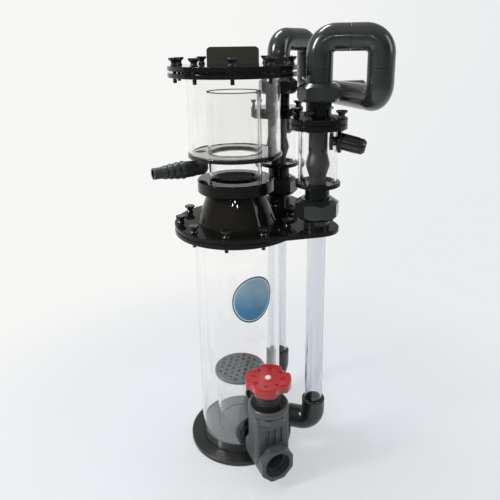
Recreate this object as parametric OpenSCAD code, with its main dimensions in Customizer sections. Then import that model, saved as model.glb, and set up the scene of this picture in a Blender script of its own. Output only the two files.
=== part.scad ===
// Protein skimmer: a clear body tube with two injector columns, a lift-off foam cup and an outlet gate valve.
// The origin is the centre of the base plate's underside, on the body tube's axis.
// +X runs between the two columns.

/* [Base and body tube] */
// diameter of the base plate
base_d = 260; // [240:1:300]
// thickness of the base plate
base_t = 12; // [8:1:16]
// height of the plug inside the foot of the tube
plug_t = 24; // [12:1:28]
// outer diameter of the clear body tube
body_d = 200; // [194:1:206]
// wall of the body tube
body_wall = 5; // [4:0.5:6]
// length of the body tube
body_len = 566; // [480:1:640]

/* [Diffuser] */
// outer diameter of the inner diffuser tube
diffuser_d = 118; // [108:1:124]
// wall of the diffuser tube
diffuser_wall = 4; // [3:0.5:5]
// length of the diffuser tube
diffuser_len = 147; // [110:1:220]
// diameter of the bubble plate
bubble_d = 129; // [126:1:150]
// thickness of the bubble plate
bubble_t = 8; // [5:1:12]
// diameter of a bubble hole
bubble_hole_d = 8; // [4:0.5:10]
// spacing of the bubble holes
bubble_pitch = 17.5; // [14:0.5:18]

/* [Body top] */
// diameter of the body flange
flange_d = 290; // [276:1:296]
// thickness of the body flange
flange_t = 10; // [8:1:16]
// thickness of the gasket under the top plate
gasket_t = 2; // [1:0.5:3]
// thickness of the top plate
plate_t = 10; // [8:1:16]
// radius of the plate's lobe round a column
lobe_r = 50; // [44:1:60]
// diameter of the circle of plate screws
plate_screw_circle = 260; // [252:1:264]
// turn of the plate screws about the axis
plate_screw_turn = 26.5; // [24:0.5:29]
// outer diameter of the cone's foot
cone_foot_d = 183; // [170:1:190]
// outer diameter of the cone's top
cone_top_d = 130; // [128:1:150]
// height of the cone
cone_h = 72; // [60:1:90]
// wall of the cone
cone_wall = 5; // [4:0.5:6]
// outer diameter of the neck collar
collar_d = 176; // [160:1:190]
// height of the neck collar
collar_h = 28; // [24:1:36]

/* [Foam cup] */
// outer diameter of the riser tube
riser_d = 121; // [116:1:124]
// wall of the riser tube
riser_wall = 4; // [3:0.5:5]
// height of the cup floor above the collar
cup_lift = 53.5; // [50:0.5:80]
// reach of the cup floor past the cup tube
cup_floor_lip = 3.5; // [2:0.5:8]
// thickness of the cup floor
cup_floor_t = 8; // [6:1:12]
// outer diameter of the cup tube
cup_d = 207; // [202:1:210]
// wall of the cup tube
cup_wall = 5; // [4:0.5:6]
// height from the cup floor to the cup flange
cup_h = 167.5; // [130:0.5:180]
// gap from the riser's rim up to the cup flange
riser_gap = 32; // [20:1:50]

/* [Lid] */
// diameter of the cup flange and the lid
lid_d = 285; // [278:1:288]
// thickness of the cup flange
cup_flange_t = 10; // [8:1:14]
// thickness of the lid gasket
lid_gasket_t = 4; // [2:0.5:5]
// width of the lid gasket's band
lid_gasket_w = 14.5; // [12:0.5:18]
// thickness of the lid
lid_t = 10; // [8:1:14]
// diameter of the circle of lid screws
lid_screw_circle = 258; // [252:1:262]
// width of the lid's handle tab
handle_w = 113; // [80:1:140]
// height of the handle tab
handle_h = 38; // [30:1:50]
// thickness of the handle tab
handle_t = 12; // [8:1:16]
// corner radius of the handle tab
handle_corner = 9; // [5:1:14]
// turn of the handle tab about the axis
handle_turn = -19.5; // [-25:0.5:-15]

/* [Drain] */
// diameter of the drain hole's pipe
drain_d = 24; // [20:1:26]
// distance of the drain hole from the axis
drain_r = 80; // [79:0.5:82]
// direction of the drain hole from the axis
drain_angle = 157; // [140:1:175]
// direction in which the hose barb points
barb_angle = 192; // [185:1:205]
// length of the hose barb from the drain hole
barb_len = 116; // [104:1:130]
// drop of the barb's axis below the cup floor
barb_drop = 29.5; // [28:0.5:31]
// diameter of the barb's tip
barb_tip_d = 26; // [22:1:28]

/* [Injector columns] */
// distance of a column from the body axis
column_r = 190; // [186:1:200]
// angle of a column to the middle plane
column_angle = 36.5; // [33:0.5:39]
// outer diameter of the clear downpipe
pipe_d = 42; // [38:1:44]
// wall of the downpipe
pipe_wall = 3; // [2:0.5:4]
// outer diameter of sockets, elbows and necks
fitting_d = 56; // [54:1:58]
// bore of the fittings
fitting_bore = 33; // [28:1:34]
// diameter of the faces that meet inside a union nut
union_d = 76; // [70:1:78]
// height of the socket between plate and lower nut
socket_h = 21; // [20:1:28]
// width across the flats of the lower union nut
lower_nut_w = 92; // [90:1:96]
// height of the lower union nut
lower_nut_h = 45; // [42:1:52]
// neck between the lower nut and the housing
lower_neck_h = 28.5; // [20:0.5:36]
// diameter of the housing foot
foot_d = 101; // [98:1:108]
// thickness of the housing foot
foot_h = 9.5; // [8:0.5:14]
// outer diameter of the injector tube
injector_d = 85; // [80:1:88]
// wall of the injector tube
injector_wall = 4; // [3:0.5:5]
// clear height between housing foot and tube flange
injector_h = 116; // [112:1:140]
// diameter of the two bolted flanges
pair_d = 124; // [122:1:128]
// thickness of each bolted flange
pair_t = 12; // [10:1:14]
// diameter of the circle of flange screws
pair_screw_circle = 104; // [102:1:106]
// turn of the flange screws about the column
pair_screw_turn = 13; // [10:1:16]
// neck between the bolted flanges and the upper nut
upper_neck_h = 34; // [30:1:44]
// width across the flats of the upper union nut
upper_nut_w = 87; // [86:1:90]
// height of the upper union nut
upper_nut_h = 38; // [36:1:42]
// part of the loop adapter that shows above the nut
adapter_h = 28.5; // [24:0.5:36]

/* [Nozzle] */
// diameter of the nozzle's straight top
nozzle_d = 41; // [38:1:42]
// diameter of the nozzle's belly
nozzle_belly_d = 52; // [46:1:56]
// diameter of the nozzle's outlet end
nozzle_end_d = 38; // [36:1:40]

/* [Loops and elbows] */
// centre to face of every elbow
elbow_reach = 62; // [60:1:66]
// bend radius of an elbow's centre line
elbow_bend = 33; // [31:1:36]
// depth of the sockets
socket_depth = 26; // [20:1:28]
// angle of a loop to the middle plane
loop_splay = 30; // [27:0.5:34]
// height of the inlets above the floor
inlet_z = 75; // [72:1:84]
// distance from the axis at which an inlet pipe ends
inlet_end_r = 52; // [50:1:54]

/* [Air valves] */
// height of the air valve above the housing foot
air_rise = 90; // [80:1:90]
// diameter of the air pipe through the tube wall
air_pipe_d = 20; // [16:1:22]
// width across the corners of the air valve's lock nuts
lock_nut_d = 50; // [44:1:52]
// diameter of the air valve's barrel
air_barrel_d = 36; // [32:1:38]
// length of the air valve's barrel
air_barrel_len = 36; // [30:1:46]
// length of the air knob
air_knob_len = 16; // [12:1:20]
// downward tilt of the air valve
air_tilt = 13; // [4:1:16]

/* [Outlet valve] */
// direction of the outlet, turned from -Y
outlet_turn = 5; // [0:0.5:8]
// height of the outlet above the floor
outlet_z = 62; // [60:0.5:66]
// outer diameter of the outlet pipe
outlet_d = 60.3; // [56:0.1:62]
// wall of the outlet pipe
outlet_wall = 4; // [3:0.5:5]
// distance of the valve's stem from the body tube
valve_reach = 65; // [60:1:78]
// face to face length of the valve
valve_len = 96; // [90:1:100]
// depth of the valve's sockets
valve_socket = 20; // [16:1:21]
// width across the flats of the valve's sockets
valve_socket_w = 77; // [75:1:82]
// bore through the valve
valve_bore = 48; // [40:1:50]
// width of the valve's chamber
chamber_w = 84; // [80:1:90]
// depth of the valve's chamber
chamber_d = 52; // [46:1:54]
// height of the chamber above the flow axis
chamber_h = 121; // [114:1:130]
// width across the flats of the bonnet ring
ring_w = 92; // [90:1:98]
// height of the bonnet ring
ring_h = 17; // [14:1:22]
// diameter of the bonnet
bonnet_d = 58; // [52:1:62]
// height of the bonnet above its ring
bonnet_h = 42; // [36:1:50]
// height of the packing nut
packing_h = 9; // [7:1:10]
// diameter of the stem
stem_d = 10; // [8:1:12]
// thickness of the gate
gate_t = 16; // [15:0.5:18]
// travel of the gate from open to shut
gate_travel = 52; // [50:1:53]

/* [Handwheel] */
// diameter of the handwheel
wheel_d = 104; // [96:1:112]
// height of the handwheel's rim
wheel_h = 18; // [17:1:24]
// thickness of the wheel's top
wheel_top = 6; // [4:1:7]
// thickness of the wheel's rim
wheel_rim = 5; // [4:0.5:6]
// radius of a notch in the rim
notch_r = 22; // [18:1:24]
// turn of the notches about the stem
wheel_turn = 16; // [5:0.5:30]

/* [Thumb screws] */
// diameter of a thumb screw's shank
screw_d = 8; // [6:0.5:8]
// diameter of a thumb screw's head
head_d = 24; // [20:1:25]
// height of a thumb screw's head
head_h = 17; // [14:1:19]
// length of shank that shows below the flange
screw_tail = 11; // [6:1:14]

/* [Hidden] */
$fn = 96;
glue = 0.05;
loose = 0.4;
screw_clear = 0.4;
running = 0.05;
seam = 0.5;
lid_screw_count = 10;
plate_screw_count = 10;
pair_screw_count = 4;
notch_count = 4;
wheel_hole_count = 8;
bubble_rings = 3;
octagon = 8;

body_bore = body_d - 2 * body_wall;
plug_d = body_bore - 2 * glue;
plug_top = base_t + plug_t;
diffuser_top = plug_top + diffuser_len;
body_top = base_t + body_len;
plate_z = body_top + gasket_t;
plate_top = plate_z + plate_t;
cone_top = plate_top + cone_h;
collar_top = cone_top + collar_h;
seat_lip = 6;
riser_seat = cone_top + seat_lip;
riser_bore = riser_d - 2 * riser_wall;
cup_floor_z = collar_top + cup_lift;
cup_floor_top = cup_floor_z + cup_floor_t;
cup_floor_d = cup_d + 2 * cup_floor_lip;
cup_bore = cup_d - 2 * cup_wall;
cup_flange_z = cup_floor_top + cup_h;
cup_rim = cup_flange_z + cup_flange_t;
riser_top = cup_flange_z - riser_gap;
lid_z = cup_rim + lid_gasket_t;
lid_top = lid_z + lid_t;
oring_wire = 4;
oring_z = (riser_seat + collar_top) / 2;
oring_mid_r = riser_d / 2 + loose + oring_wire / 2;

column_x = column_r * cos(column_angle);
column_y = column_r * sin(column_angle);
pipe_bore = pipe_d - 2 * pipe_wall;
spigot_r = pipe_d / 2;
hole_r = spigot_r + glue;
lower_nut_z = plate_top + socket_h;
nut_lip = 11;
nut_bevel = 10;
nut_wall = 3;
nut_crown_r = 35;
face_t = 12;
lower_nut_top = lower_nut_z + lower_nut_h;
lower_face = lower_nut_top - nut_lip - face_t;
foot_z = lower_nut_top + lower_neck_h;
foot_top = foot_z + foot_h;
tube_inset = 5;
tube_seat = foot_top - tube_inset;
face_gap = 3;
socket_stop = 4;
tube_flange_z = foot_top + injector_h;
cap_z = tube_flange_z + pair_t;
cap_top = cap_z + pair_t;
upper_nut_z = cap_top + upper_neck_h;
upper_nut_top = upper_nut_z + upper_nut_h;
upper_face = upper_nut_top - nut_lip - face_t;
adapter_top = upper_nut_top + adapter_h;
loop_z = adapter_top + seam + elbow_reach;
loop_step = 2 * elbow_reach + seam;
spigot_len = socket_depth - 2;
feed_z = loop_z - loop_step;
feed_x = column_x + loop_step * cos(loop_splay);
feed_y = column_y + loop_step * sin(loop_splay);
feed_run = feed_y - elbow_reach - seam;
inlet_rim = inlet_z + elbow_reach;
downpipe_foot = inlet_rim - socket_depth + 1;
downpipe_top = plate_top + socket_h - socket_stop;
air_z = foot_top + air_rise;
nozzle_inset = 8;
nozzle_top = cap_z + nozzle_inset;
nozzle_wall = 3;
throat_step = 11;
nozzle_throat_r = nozzle_d / 2 - throat_step;
belly_low = 40;
belly_high = 46;
belly_top = 68;
nozzle_end_h = 18;
air_root = injector_d / 2;
lock_nut_t = 7;
air_bore = 12;
air_pipe_bore = 8;
barrel_inset = 4;
inner_nut_d = 40;
inner_nut_r = sqrt(pow(injector_d / 2 - injector_wall, 2) - pow(inner_nut_d / 2, 2)) - glue;

valve_r = body_d / 2 + valve_reach;
chamber_top = outlet_z + chamber_h;
ring_top = chamber_top + ring_h;
bonnet_top = ring_top + bonnet_h;
packing_top = bonnet_top + packing_h;
wheel_gap = 2;
wheel_z = bonnet_top + wheel_gap;
wheel_face = wheel_z + wheel_h;
gate_lap = 4;
gate_r = valve_bore / 2 + gate_lap;
gate_mid = outlet_z + gate_travel + 1;
gate_shoulder = 14;
gate_top = gate_mid + gate_r + gate_shoulder;
gate_gap = 0.6;
stem_bite = 8;
stem_end = gate_mid - gate_r + stem_bite;
chamber_corner = 9;
pocket_w = 12;
pocket_pitch = 16;
pocket_depth = 4;
pocket_rise = 3;
pocket_z = outlet_z + valve_socket_w / 2 + pocket_rise;
pocket_drop = 40;
pocket_top = chamber_top - pocket_drop;
ring_bevel = 4;
seat_step = 4;
seat_w = ring_w - 2 * seat_step;
ring_recess_d = bonnet_d + 16;
ring_floor = 6;
bonnet_cap_h = 14;
saddle_t = 9;
outlet_saddle_r = 41;
outlet_pad_r = 46;
inlet_saddle_r = 36;
barb_wall = 4;
hub_gap = 6;
bead_at = 40;
bead_w = 8;
ridge_at = 56;
ridge_w = 14;
tip_at = 84;
lid_screw_len = lid_t + lid_gasket_t + cup_flange_t + screw_tail;
plate_screw_len = plate_t + gasket_t + flange_t + screw_tail;
pair_screw_len = 2 * pair_t + 2;

// Places a child at a column: side -1 is the front column, side 1 the rear one.
// Local +X points away from the body.
module at_column(side) {
    rotate([0, 0, side * column_angle]) translate([column_r, 0, 0]) children();
}

// Places a child at a column's axis with local +X along its loop.
module at_loop(side) {
    translate([column_x, side * column_y, 0]) rotate([0, 0, side * loop_splay]) children();
}

// Places a child at the outlet valve's stem, with local -Y along the flow.
module at_valve() {
    rotate([0, 0, outlet_turn]) translate([0, -valve_r, 0]) children();
}

module ring(outer, inner, height) {
    difference() {
        cylinder(d = outer, h = height);
        translate([0, 0, -1]) cylinder(d = inner, h = height + 2);
    }
}

// A disc whose upper and lower edges are broken by a small bevel.
module bevelled_disc(diameter, height, bevel) {
    rotate_extrude()
        polygon([[0, 0], [diameter / 2 - bevel, 0], [diameter / 2, bevel], [diameter / 2, height - bevel],
            [diameter / 2 - bevel, height], [0, height]]);
}

module screw_holes(count, circle_d, turn, low, high) {
    for (i = [0 : count - 1])
        rotate([0, 0, turn + i * 360 / count]) translate([circle_d / 2, 0, low])
            cylinder(d = screw_d + 2 * screw_clear, h = high - low);
}

// Thumb screw with a flared, six-lobed head; the shank runs down from the origin.
module thumb_screw(length) {
    lobe_cut = head_d / 6;
    translate([0, 0, -length]) cylinder(d = screw_d, h = length + 1);
    difference() {
        rotate_extrude()
            polygon([[0, 0], [head_d * 0.34, 0], [head_d * 0.34, 2], [head_d * 0.27, head_h * 0.3],
                [head_d * 0.29, head_h * 0.5], [head_d * 0.48, head_h * 0.78], [head_d / 2, head_h * 0.86],
                [head_d / 2, head_h - 1], [head_d / 2 - 1, head_h], [0, head_h]]);
        for (i = [0 : 5])
            rotate([0, 0, i * 60]) translate([head_d / 2 + lobe_cut * 0.45, 0, head_h * 0.4])
                cylinder(r = lobe_cut, h = head_h, $fn = 24);
    }
}

// An upright octagonal prism, bevelled down to a round foot and a round crown.
module octagon_block(width, height, bevel, foot_r, crown_r) {
    corner_r = width / 2 / cos(180 / octagon);
    intersection() {
        rotate([0, 0, 180 / octagon]) cylinder(r = corner_r, h = height, $fn = octagon);
        rotate_extrude()
            polygon([[0, 0], [foot_r, 0], [corner_r + 0.5, bevel], [corner_r + 0.5, height - bevel],
                [crown_r, height], [0, height]]);
    }
}

// Octagonal union nut with bevelled corners, a wide bore below and a lip round the neck at the top.
module union_nut(width, height) {
    difference() {
        octagon_block(width, height, nut_bevel, union_d / 2 + loose + nut_wall, nut_crown_r);
        translate([0, 0, -1]) cylinder(d = union_d + 2 * loose, h = height - nut_lip + 1);
        cylinder(d = fitting_d + 2 * loose, h = height + 1);
    }
}

// Street elbow at the origin: a socket facing -Z and a plain pipe end facing +X.
module elbow(pipe_end) {
    difference() {
        union() {
            translate([elbow_bend, 0, -elbow_bend]) rotate([90, 0, 0]) rotate([0, 0, 90])
                rotate_extrude(angle = 90) translate([elbow_bend, 0]) circle(d = fitting_d);
            translate([0, 0, -elbow_reach]) cylinder(d = fitting_d, h = elbow_reach - elbow_bend);
            translate([elbow_bend, 0, 0]) rotate([0, 90, 0])
                cylinder(d = fitting_d, h = elbow_reach - elbow_bend);
            translate([elbow_bend, 0, 0]) rotate([0, 90, 0])
                cylinder(r = spigot_r, h = elbow_reach - elbow_bend + pipe_end);
        }
        translate([elbow_bend, 0, -elbow_bend]) rotate([90, 0, 0]) rotate([0, 0, 90])
            rotate_extrude(angle = 90) translate([elbow_bend, 0]) circle(d = fitting_bore);
        translate([0, 0, -elbow_reach - 1]) cylinder(d = fitting_bore, h = elbow_reach - elbow_bend + 1);
        translate([0, 0, -elbow_reach - 1]) cylinder(r = hole_r, h = socket_depth + 1);
        translate([elbow_bend, 0, 0]) rotate([0, 90, 0])
            cylinder(d = fitting_bore, h = elbow_reach - elbow_bend + pipe_end + 1);
    }
}

// Straight hole from the body axis outwards at the foot of a column.
module inlet_hole(side, radius) {
    rotate([0, 0, side * column_angle]) translate([0, 0, inlet_z]) rotate([0, 90, 0])
        cylinder(r = radius, h = column_r - elbow_reach);
}

module outlet_hole(radius) {
    rotate([0, 0, outlet_turn]) translate([0, 0, outlet_z]) rotate([90, 0, 0])
        cylinder(r = radius, h = valve_r);
}

module base_plate() {
    color([0.26, 0.26, 0.26]) bevelled_disc(base_d, base_t, 1.5);
}

module floor_plug() {
    color([0.44, 0.46, 0.46]) translate([0, 0, base_t]) cylinder(d = plug_d, h = plug_t);
}

module body_tube() {
    color([0.9, 0.93, 0.94, 0.35]) difference() {
        translate([0, 0, base_t]) ring(body_d, body_d - 2 * body_wall, body_len);
        inlet_hole(-1, hole_r);
        inlet_hole(1, hole_r);
        outlet_hole(outlet_d / 2 + glue);
    }
}

module diffuser_tube() {
    color([0.9, 0.93, 0.94, 0.35]) difference() {
        translate([0, 0, plug_top]) ring(diffuser_d, diffuser_d - 2 * diffuser_wall, diffuser_len);
        inlet_hole(-1, hole_r + screw_clear);
        inlet_hole(1, hole_r + screw_clear);
    }
}

// The bubble holes stand on a triangular grid, cut to a hexagon of bubble_rings rings.
module bubble_plate() {
    color([0.43, 0.45, 0.45]) translate([0, 0, diffuser_top]) difference() {
        bevelled_disc(bubble_d, bubble_t, 1);
        for (row = [-bubble_rings : bubble_rings], i = [0 : 2 * bubble_rings - abs(row)])
            translate([(i - bubble_rings + abs(row) / 2) * bubble_pitch,
                row * bubble_pitch * sqrt(3) / 2, -1])
                cylinder(d = bubble_hole_d, h = bubble_t + 2, $fn = 32);
    }
}

module body_flange() {
    color([0.07, 0.07, 0.08]) translate([0, 0, body_top - flange_t]) difference() {
        bevelled_disc(flange_d, flange_t, 1);
        translate([0, 0, -1]) cylinder(d = body_d + 2 * glue, h = flange_t + 2);
        screw_holes(plate_screw_count, plate_screw_circle, plate_screw_turn, -1, flange_t + 1);
    }
}

module flange_gasket() {
    color([0.6, 0.6, 0.6]) translate([0, 0, body_top]) difference() {
        ring(flange_d - 6, body_bore, gasket_t);
        screw_holes(plate_screw_count, plate_screw_circle, plate_screw_turn, -1, gasket_t + 1);
    }
}

// Teardrop plate: a round disc joined by straight tangents to a lobe round each column.
module top_plate() {
    tangent = acos((flange_d / 2 - lobe_r) / column_r);
    side_turn = column_angle + tangent;
    disc_r = flange_d / 2;
    edge_x = column_x + lobe_r;
    color([0.05, 0.05, 0.06]) translate([0, 0, plate_z]) difference() {
        union() {
            bevelled_disc(flange_d, plate_t, 1);
            for (side = [-1, 1]) at_column(side) bevelled_disc(2 * lobe_r, plate_t, 1);
            linear_extrude(height = plate_t)
                polygon([[disc_r * cos(side_turn), -disc_r * sin(side_turn)],
                    [column_x + lobe_r * cos(side_turn), -column_y - lobe_r * sin(side_turn)],
                    [column_x, -column_y], [edge_x, -column_y], [edge_x, column_y], [column_x, column_y],
                    [column_x + lobe_r * cos(side_turn), column_y + lobe_r * sin(side_turn)],
                    [disc_r * cos(side_turn), disc_r * sin(side_turn)]]);
        }
        translate([0, 0, -1]) cylinder(d = cone_foot_d - 2 * cone_wall, h = plate_t + 2);
        for (side = [-1, 1]) at_column(side) translate([0, 0, -1]) cylinder(r = hole_r, h = plate_t + 2);
        screw_holes(plate_screw_count, plate_screw_circle, plate_screw_turn, -1, plate_t + 1);
    }
}

module thumb_screws() {
    color([0.06, 0.06, 0.06]) {
        for (i = [0 : plate_screw_count - 1])
            rotate([0, 0, plate_screw_turn + i * 360 / plate_screw_count])
                translate([plate_screw_circle / 2, 0, plate_top]) thumb_screw(plate_screw_len);
        for (side = [-1, 1])
            at_column(side)
                for (i = [0 : pair_screw_count - 1])
                    rotate([0, 0, side * pair_screw_turn + i * 360 / pair_screw_count])
                        translate([pair_screw_circle / 2, 0, cap_top]) thumb_screw(pair_screw_len);
    }
}

module cone() {
    color([0.05, 0.05, 0.06]) translate([0, 0, plate_top])
        rotate_extrude()
            polygon([[cone_foot_d / 2 - cone_wall, 0], [cone_foot_d / 2, 0], [cone_top_d / 2, cone_h],
                [cone_top_d / 2 - cone_wall, cone_h]]);
}

module neck_collar() {
    color([0.05, 0.05, 0.06]) difference() {
        translate([0, 0, cone_top]) bevelled_disc(collar_d, collar_h, 1.5);
        translate([0, 0, cone_top - 1]) cylinder(d = riser_bore, h = collar_h);
        translate([0, 0, riser_seat]) cylinder(d = riser_d + 2 * loose, h = collar_h);
        translate([0, 0, oring_z - oring_wire / 2 - glue])
            cylinder(r = oring_mid_r + oring_wire / 2 + glue, h = oring_wire + 2 * glue);
    }
}

module collar_oring() {
    color([0.03, 0.03, 0.03]) translate([0, 0, oring_z])
        rotate_extrude() translate([oring_mid_r, 0]) circle(d = oring_wire, $fn = 32);
}

// Curved pads on the tube's wall, each with a hole for its pipe; the outlet has one inside as well.
module wall_saddles() {
    color([0.05, 0.05, 0.06]) {
        for (side = [-1, 1])
            difference() {
                intersection() {
                    inlet_hole(side, inlet_saddle_r);
                    translate([0, 0, base_t])
                        ring(body_d + 2 * saddle_t, body_d + 2 * glue, inlet_z + inlet_saddle_r);
                }
                inlet_hole(side, hole_r);
            }
        difference() {
            intersection() {
                outlet_hole(outlet_saddle_r);
                translate([0, 0, base_t])
                    ring(body_d + 2 * saddle_t, body_d + 2 * glue, outlet_z + outlet_saddle_r);
            }
            outlet_hole(outlet_d / 2 + glue);
        }
        difference() {
            intersection() {
                outlet_hole(outlet_pad_r);
                translate([0, 0, plug_top + glue])
                    ring(body_bore - 2 * glue, body_bore - 2 * saddle_t, outlet_z + outlet_pad_r);
            }
            outlet_hole(outlet_d / 2 + glue);
        }
    }
}

module outlet_pipe() {
    start = body_d / 2 - body_wall;
    length = valve_r - valve_len / 2 + valve_socket - 0.5 - start;
    color([0.3, 0.32, 0.33]) rotate([0, 0, outlet_turn]) translate([0, -start, outlet_z]) rotate([90, 0, 0])
        ring(outlet_d, outlet_d - 2 * outlet_wall, length);
}

// The valve's chamber: an upright box with rounded corners.
module chamber_block() {
    half_w = chamber_w / 2;
    half_d = chamber_d / 2;
    flat_w = chamber_w - 2 * chamber_corner;
    flat_d = chamber_d - 2 * chamber_corner;
    translate([-half_w, -flat_d / 2, 0]) cube([chamber_w, flat_d, chamber_h]);
    translate([-flat_w / 2, -half_d, 0]) cube([flat_w, chamber_d, chamber_h]);
    for (x = [-1, 1], y = [-1, 1])
        translate([x * flat_w / 2, y * flat_d / 2, 0])
            cylinder(r = chamber_corner, h = chamber_h);
}

// Valve body: an octagonal barrel along the flow, and a tall chamber with a gate slot and ribbed pockets.
module valve_body() {
    socket_r = valve_socket_w / 2 / cos(180 / octagon);
    color([0.31, 0.33, 0.34]) at_valve() difference() {
        union() {
            translate([0, valve_len / 2, outlet_z]) rotate([90, 0, 0]) rotate([0, 0, 180 / octagon])
                cylinder(r = socket_r, h = valve_len, $fn = octagon);
            translate([0, 0, outlet_z]) chamber_block();
            translate([0, 0, chamber_top - ring_h])
                octagon_block(seat_w, ring_h, ring_bevel, seat_w / 2 - 1, seat_w / 2 - 2);
        }
        translate([0, valve_len / 2 + 1, outlet_z]) rotate([90, 0, 0])
            cylinder(d = valve_bore, h = valve_len + 2);
        for (end = [-1, 1])
            translate([0, end * (valve_len + 1 - valve_socket) / 2, outlet_z]) rotate([90, 0, 0])
                cylinder(d = outlet_d + 2 * glue, h = valve_socket + 1, center = true);
        translate([0, gate_t / 2 + gate_gap, outlet_z]) rotate([90, 0, 0])
            cylinder(r = gate_r + gate_gap, h = gate_t + 2 * gate_gap);
        translate([-gate_r - gate_gap, -gate_t / 2 - gate_gap, outlet_z])
            cube([2 * (gate_r + gate_gap), gate_t + 2 * gate_gap, chamber_h + 1]);
        for (end = [-1, 1], i = [-1, 0, 1])
            translate([i * pocket_pitch - pocket_w / 2, end * chamber_d / 2 - pocket_depth, pocket_z])
                cube([pocket_w, 2 * pocket_depth, pocket_top - pocket_z]);
    }
}

module bonnet_ring() {
    color([0.31, 0.33, 0.34]) at_valve() translate([0, 0, chamber_top]) difference() {
        octagon_block(ring_w, ring_h, ring_bevel, ring_w / 2 - 1, ring_w / 2 - 2);
        translate([0, 0, -1]) cylinder(d = bonnet_d + 2 * glue, h = ring_h + 2);
        translate([0, 0, ring_floor]) cylinder(d = ring_recess_d, h = ring_h);
    }
}

module valve_bonnet() {
    color([0.2, 0.21, 0.21]) at_valve() translate([0, 0, chamber_top]) difference() {
        union() {
            cylinder(d = bonnet_d, h = ring_h + bonnet_h - bonnet_cap_h);
            cylinder(d = bonnet_d - 16, h = ring_h + bonnet_h);
        }
        translate([0, 0, -1]) cylinder(d = stem_d + 2 * running, h = ring_h + bonnet_h + 2);
    }
}

module packing_nut() {
    color([0.25, 0.26, 0.26]) at_valve() translate([0, 0, bonnet_top]) difference() {
        cylinder(d = 30, h = packing_h, $fn = 6);
        translate([0, 0, -1]) cylinder(d = stem_d + 2 * loose, h = packing_h + 2);
    }
}

module valve_gate() {
    color([0.35, 0.36, 0.37]) at_valve() difference() {
        union() {
            translate([0, gate_t / 2, gate_mid]) rotate([90, 0, 0]) cylinder(r = gate_r, h = gate_t);
            translate([-gate_r, -gate_t / 2, gate_mid]) cube([2 * gate_r, gate_t, gate_top - gate_mid]);
        }
        translate([0, 0, stem_end - 2]) cylinder(d = stem_d + 2 * loose, h = gate_top - stem_end + 3);
    }
}

module valve_stem() {
    color([0.7, 0.66, 0.5]) at_valve() translate([0, 0, stem_end])
        cylinder(d = stem_d, h = wheel_face - stem_end);
}

// Plan of the handwheel: a disc with round notches, drawn in by the given amount.
module wheel_plan(inset, height) {
    difference() {
        cylinder(d = wheel_d - 2 * inset, h = height);
        for (i = [0 : notch_count - 1])
            rotate([0, 0, i * 360 / notch_count]) translate([wheel_d / 2 + notch_r * 0.5, 0, -1])
                cylinder(r = notch_r + inset, h = height + 2);
    }
}

module handwheel() {
    hub_d = stem_d + 14;
    color([0.8, 0.19, 0.21]) at_valve() translate([0, 0, wheel_z]) rotate([0, 0, wheel_turn - outlet_turn])
        difference() {
            union() {
                difference() {
                    wheel_plan(0, wheel_h);
                    translate([0, 0, -1]) wheel_plan(wheel_rim, wheel_h - wheel_top + 1);
                }
                translate([0, 0, packing_h]) cylinder(d = hub_d, h = wheel_h - packing_h);
            }
            translate([0, 0, -1]) cylinder(d = stem_d + 2 * glue, h = wheel_h + 2);
            for (i = [0 : wheel_hole_count - 1])
                rotate([0, 0, (i + 0.5) * 360 / wheel_hole_count]) translate([wheel_d * 0.33, 0, -1])
                    cylinder(d = 6, h = wheel_h + 2, $fn = 32);
        }
}

module handwheel_screw() {
    color([0.92, 0.92, 0.9]) at_valve() translate([0, 0, wheel_face])
        rotate_extrude() polygon([[0, 0], [7, 0], [7, 1.5], [5, 4], [0, 4.6]]);
}

module inlet_elbow(side) {
    color([0.2, 0.22, 0.22]) at_column(side) translate([0, 0, inlet_z])
        rotate([0, 0, 180]) rotate([180, 0, 0]) elbow(column_r - elbow_reach - inlet_end_r);
}

module downpipe(side) {
    color([0.78, 0.8, 0.86, 0.5]) at_column(side) translate([0, 0, downpipe_foot])
        ring(pipe_d, pipe_bore, downpipe_top - downpipe_foot);
}

// Lower half of the lower union, glued on the top plate and onto the downpipe.
module plate_socket(side) {
    color([0.2, 0.22, 0.22]) at_column(side) difference() {
        union() {
            translate([0, 0, plate_top]) cylinder(d = fitting_d + 2, h = lower_face - plate_top);
            translate([0, 0, lower_nut_z + face_gap])
                cylinder(d = union_d, h = lower_face - lower_nut_z - face_gap);
        }
        translate([0, 0, plate_top - 1]) cylinder(d = fitting_bore, h = lower_face - plate_top + 2);
        translate([0, 0, plate_top - 1]) cylinder(r = hole_r, h = downpipe_top - plate_top + 2);
    }
}

module lower_nut(side) {
    color([0.17, 0.18, 0.18]) at_column(side) translate([0, 0, lower_nut_z])
        union_nut(lower_nut_w, lower_nut_h);
}

// Foot of the injector housing: the union's upper face, its neck and the ring that holds the tube.
module housing_foot(side) {
    color([0.07, 0.07, 0.08]) at_column(side) difference() {
        union() {
            translate([0, 0, lower_face]) cylinder(d = union_d - 2, h = face_t);
            translate([0, 0, lower_face]) cylinder(d = fitting_d - 2, h = foot_z - lower_face + 1);
            translate([0, 0, foot_z]) bevelled_disc(foot_d, foot_h, 1.5);
        }
        translate([0, 0, lower_face - 1]) cylinder(d = fitting_bore, h = foot_top - lower_face + 2);
        translate([0, 0, tube_seat]) cylinder(d = injector_d + 2 * glue, h = foot_top - tube_seat + 1);
    }
}

module injector_tube(side) {
    color([0.9, 0.93, 0.94, 0.35]) at_column(side) difference() {
        translate([0, 0, tube_seat]) ring(injector_d, injector_d - 2 * injector_wall, cap_z - tube_seat);
        translate([injector_d / 4, 0, air_z]) rotate([0, 90, 0])
            cylinder(d = air_pipe_d + 2 * glue, h = injector_d);
    }
}

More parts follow.
